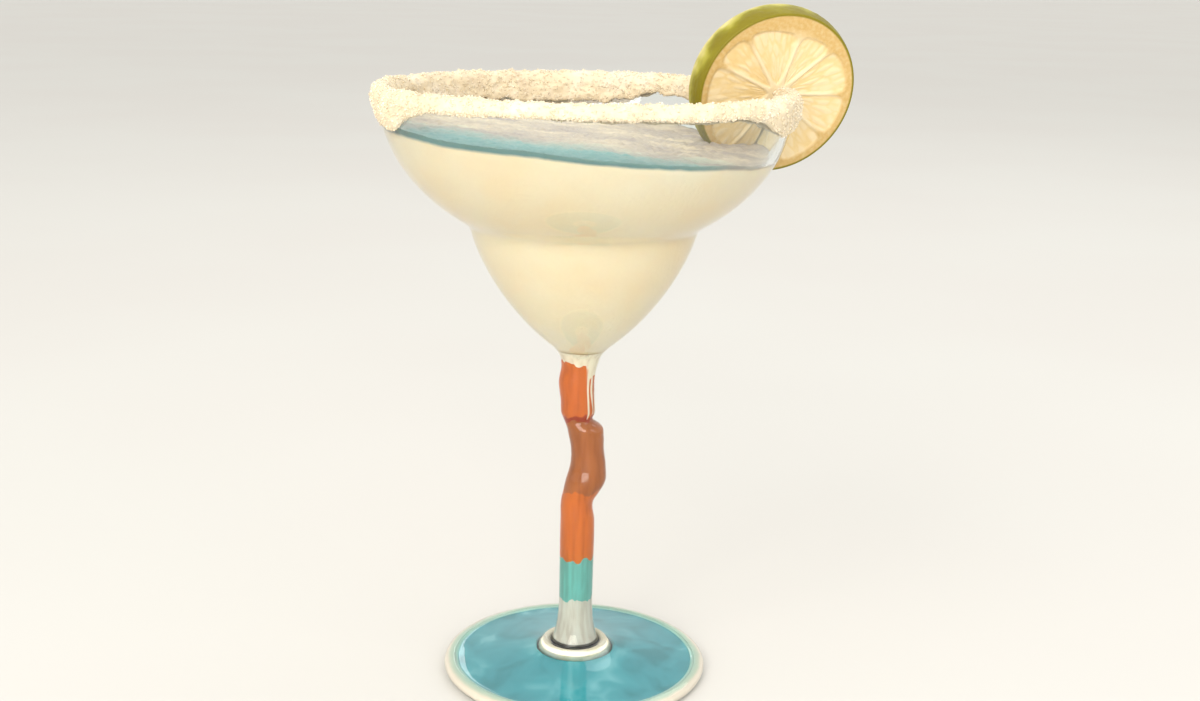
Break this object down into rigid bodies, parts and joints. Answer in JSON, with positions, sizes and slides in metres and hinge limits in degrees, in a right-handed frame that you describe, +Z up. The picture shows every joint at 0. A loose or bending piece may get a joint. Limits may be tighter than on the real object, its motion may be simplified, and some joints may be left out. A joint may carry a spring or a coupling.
{
  "type": "margarita cocktail",
  "caption": "Creamy margarita filling a wide two-part bowl on a crooked coloured stem and round teal foot, with a salted rim and a lime wheel hung on it.",
  "frame": {"origin": "centre of the foot's flat underside, on the surface that the glass stands on", "axes": "+Z up along the glass's axis, +X towards the side where the lime wheel hangs, -Y towards the viewer"},
  "size_m": [0.1348, 0.1168, 0.1948],
  "materials": {
    "clear_glass": "hand-blown clear glass with a faint teal tint, with orange, amber and teal glass drawn into the stem and foot, fire-polished",
    "creamy_drink": "pale creamy blended margarita, wet and slushy on top, food",
    "coarse_salt": "coarse bar salt crust, off-white matt grains, food",
    "lime_flesh": "cut lime: moist pale yellow cells, tan pith and an olive green waxy rind, food"
  },
  "bodies": {
    "root": {"glass": "clear_glass", "margarita": "creamy_drink", "salt_rim": "coarse_salt", "lime_wheel": "lime_flesh"}
  },
  "joints": []
}
